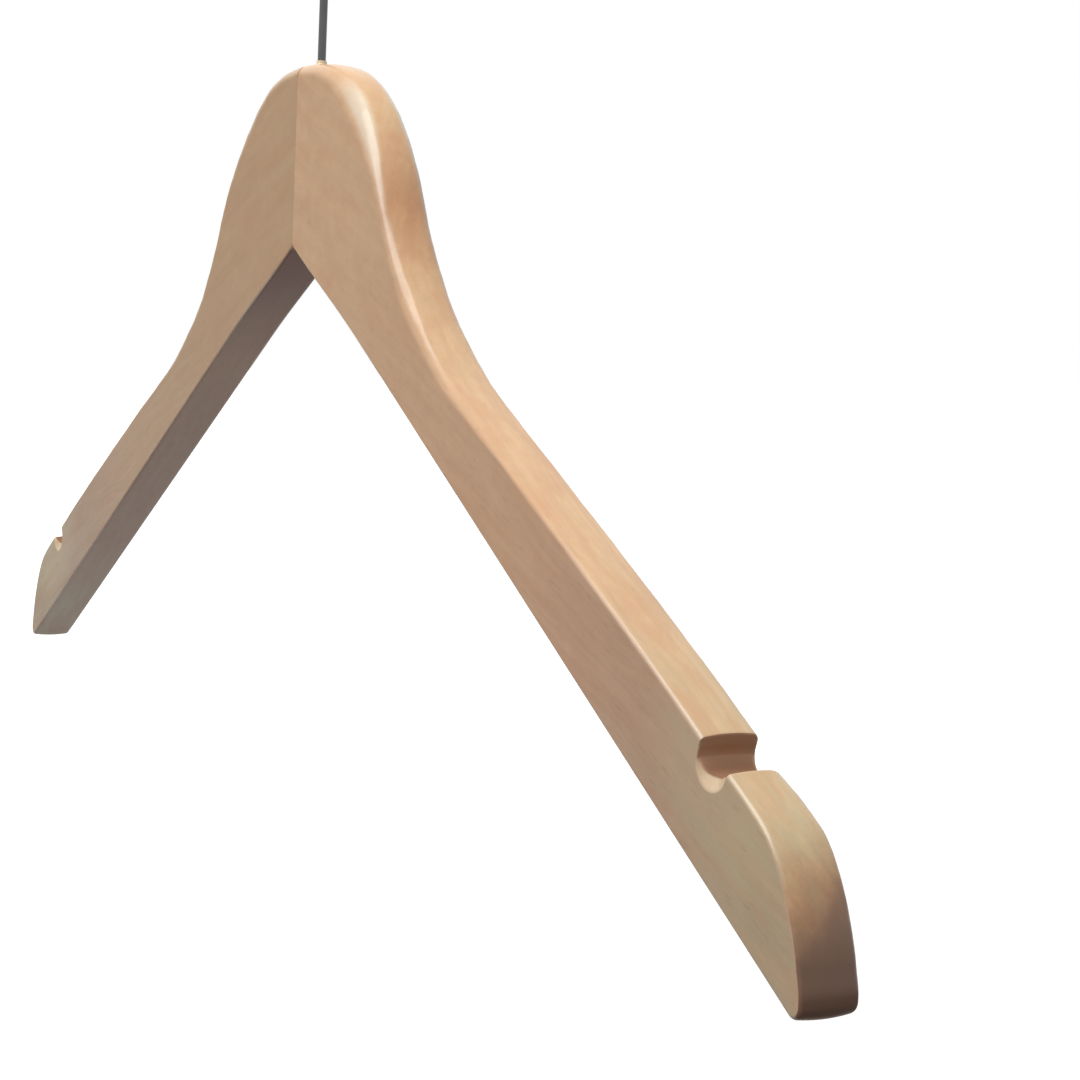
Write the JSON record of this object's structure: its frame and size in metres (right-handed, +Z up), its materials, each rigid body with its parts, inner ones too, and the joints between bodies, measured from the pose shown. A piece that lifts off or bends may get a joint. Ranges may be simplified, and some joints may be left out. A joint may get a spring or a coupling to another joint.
{
  "type": "clothes hanger",
  "caption": "Flat wooden clothes hanger with a domed head, strap notches near the arm ends and a swivelling wire hook.",
  "frame": {"origin": "inner crown of the hook's crook, the spot that a rail carries", "axes": "+X along the hanger's width towards the right arm, +Y from the front face to the back face, +Z up"},
  "size_m": [0.4448, 0.012, 0.245],
  "materials": {
    "lacquered_wood_left": "clear satin lacquer over pale, slightly pink hardwood",
    "lacquered_wood_right": "clear satin lacquer over pale hardwood",
    "dark_wire": "dark grey plated steel wire",
    "zinc_plating": "zinc plated steel",
    "wood_coloured_plastic": "plain moulded plastic in a wood colour"
  },
  "bodies": {
    "hook": {"hook": "dark_wire", "hook_washer": "zinc_plating", "hook_nut": "zinc_plating"},
    "wooden_body": {"left_arm": "lacquered_wood_left", "right_arm": "lacquered_wood_right", "hook_bush": "wood_coloured_plastic"}
  },
  "joints": [
    {"name": "hook_swivel", "type": "hinge", "parent": "hook", "child": "wooden_body", "pos_m": [0, 0, -0.07345], "axis": [0, 0, 1], "continuous": true}
  ]
}
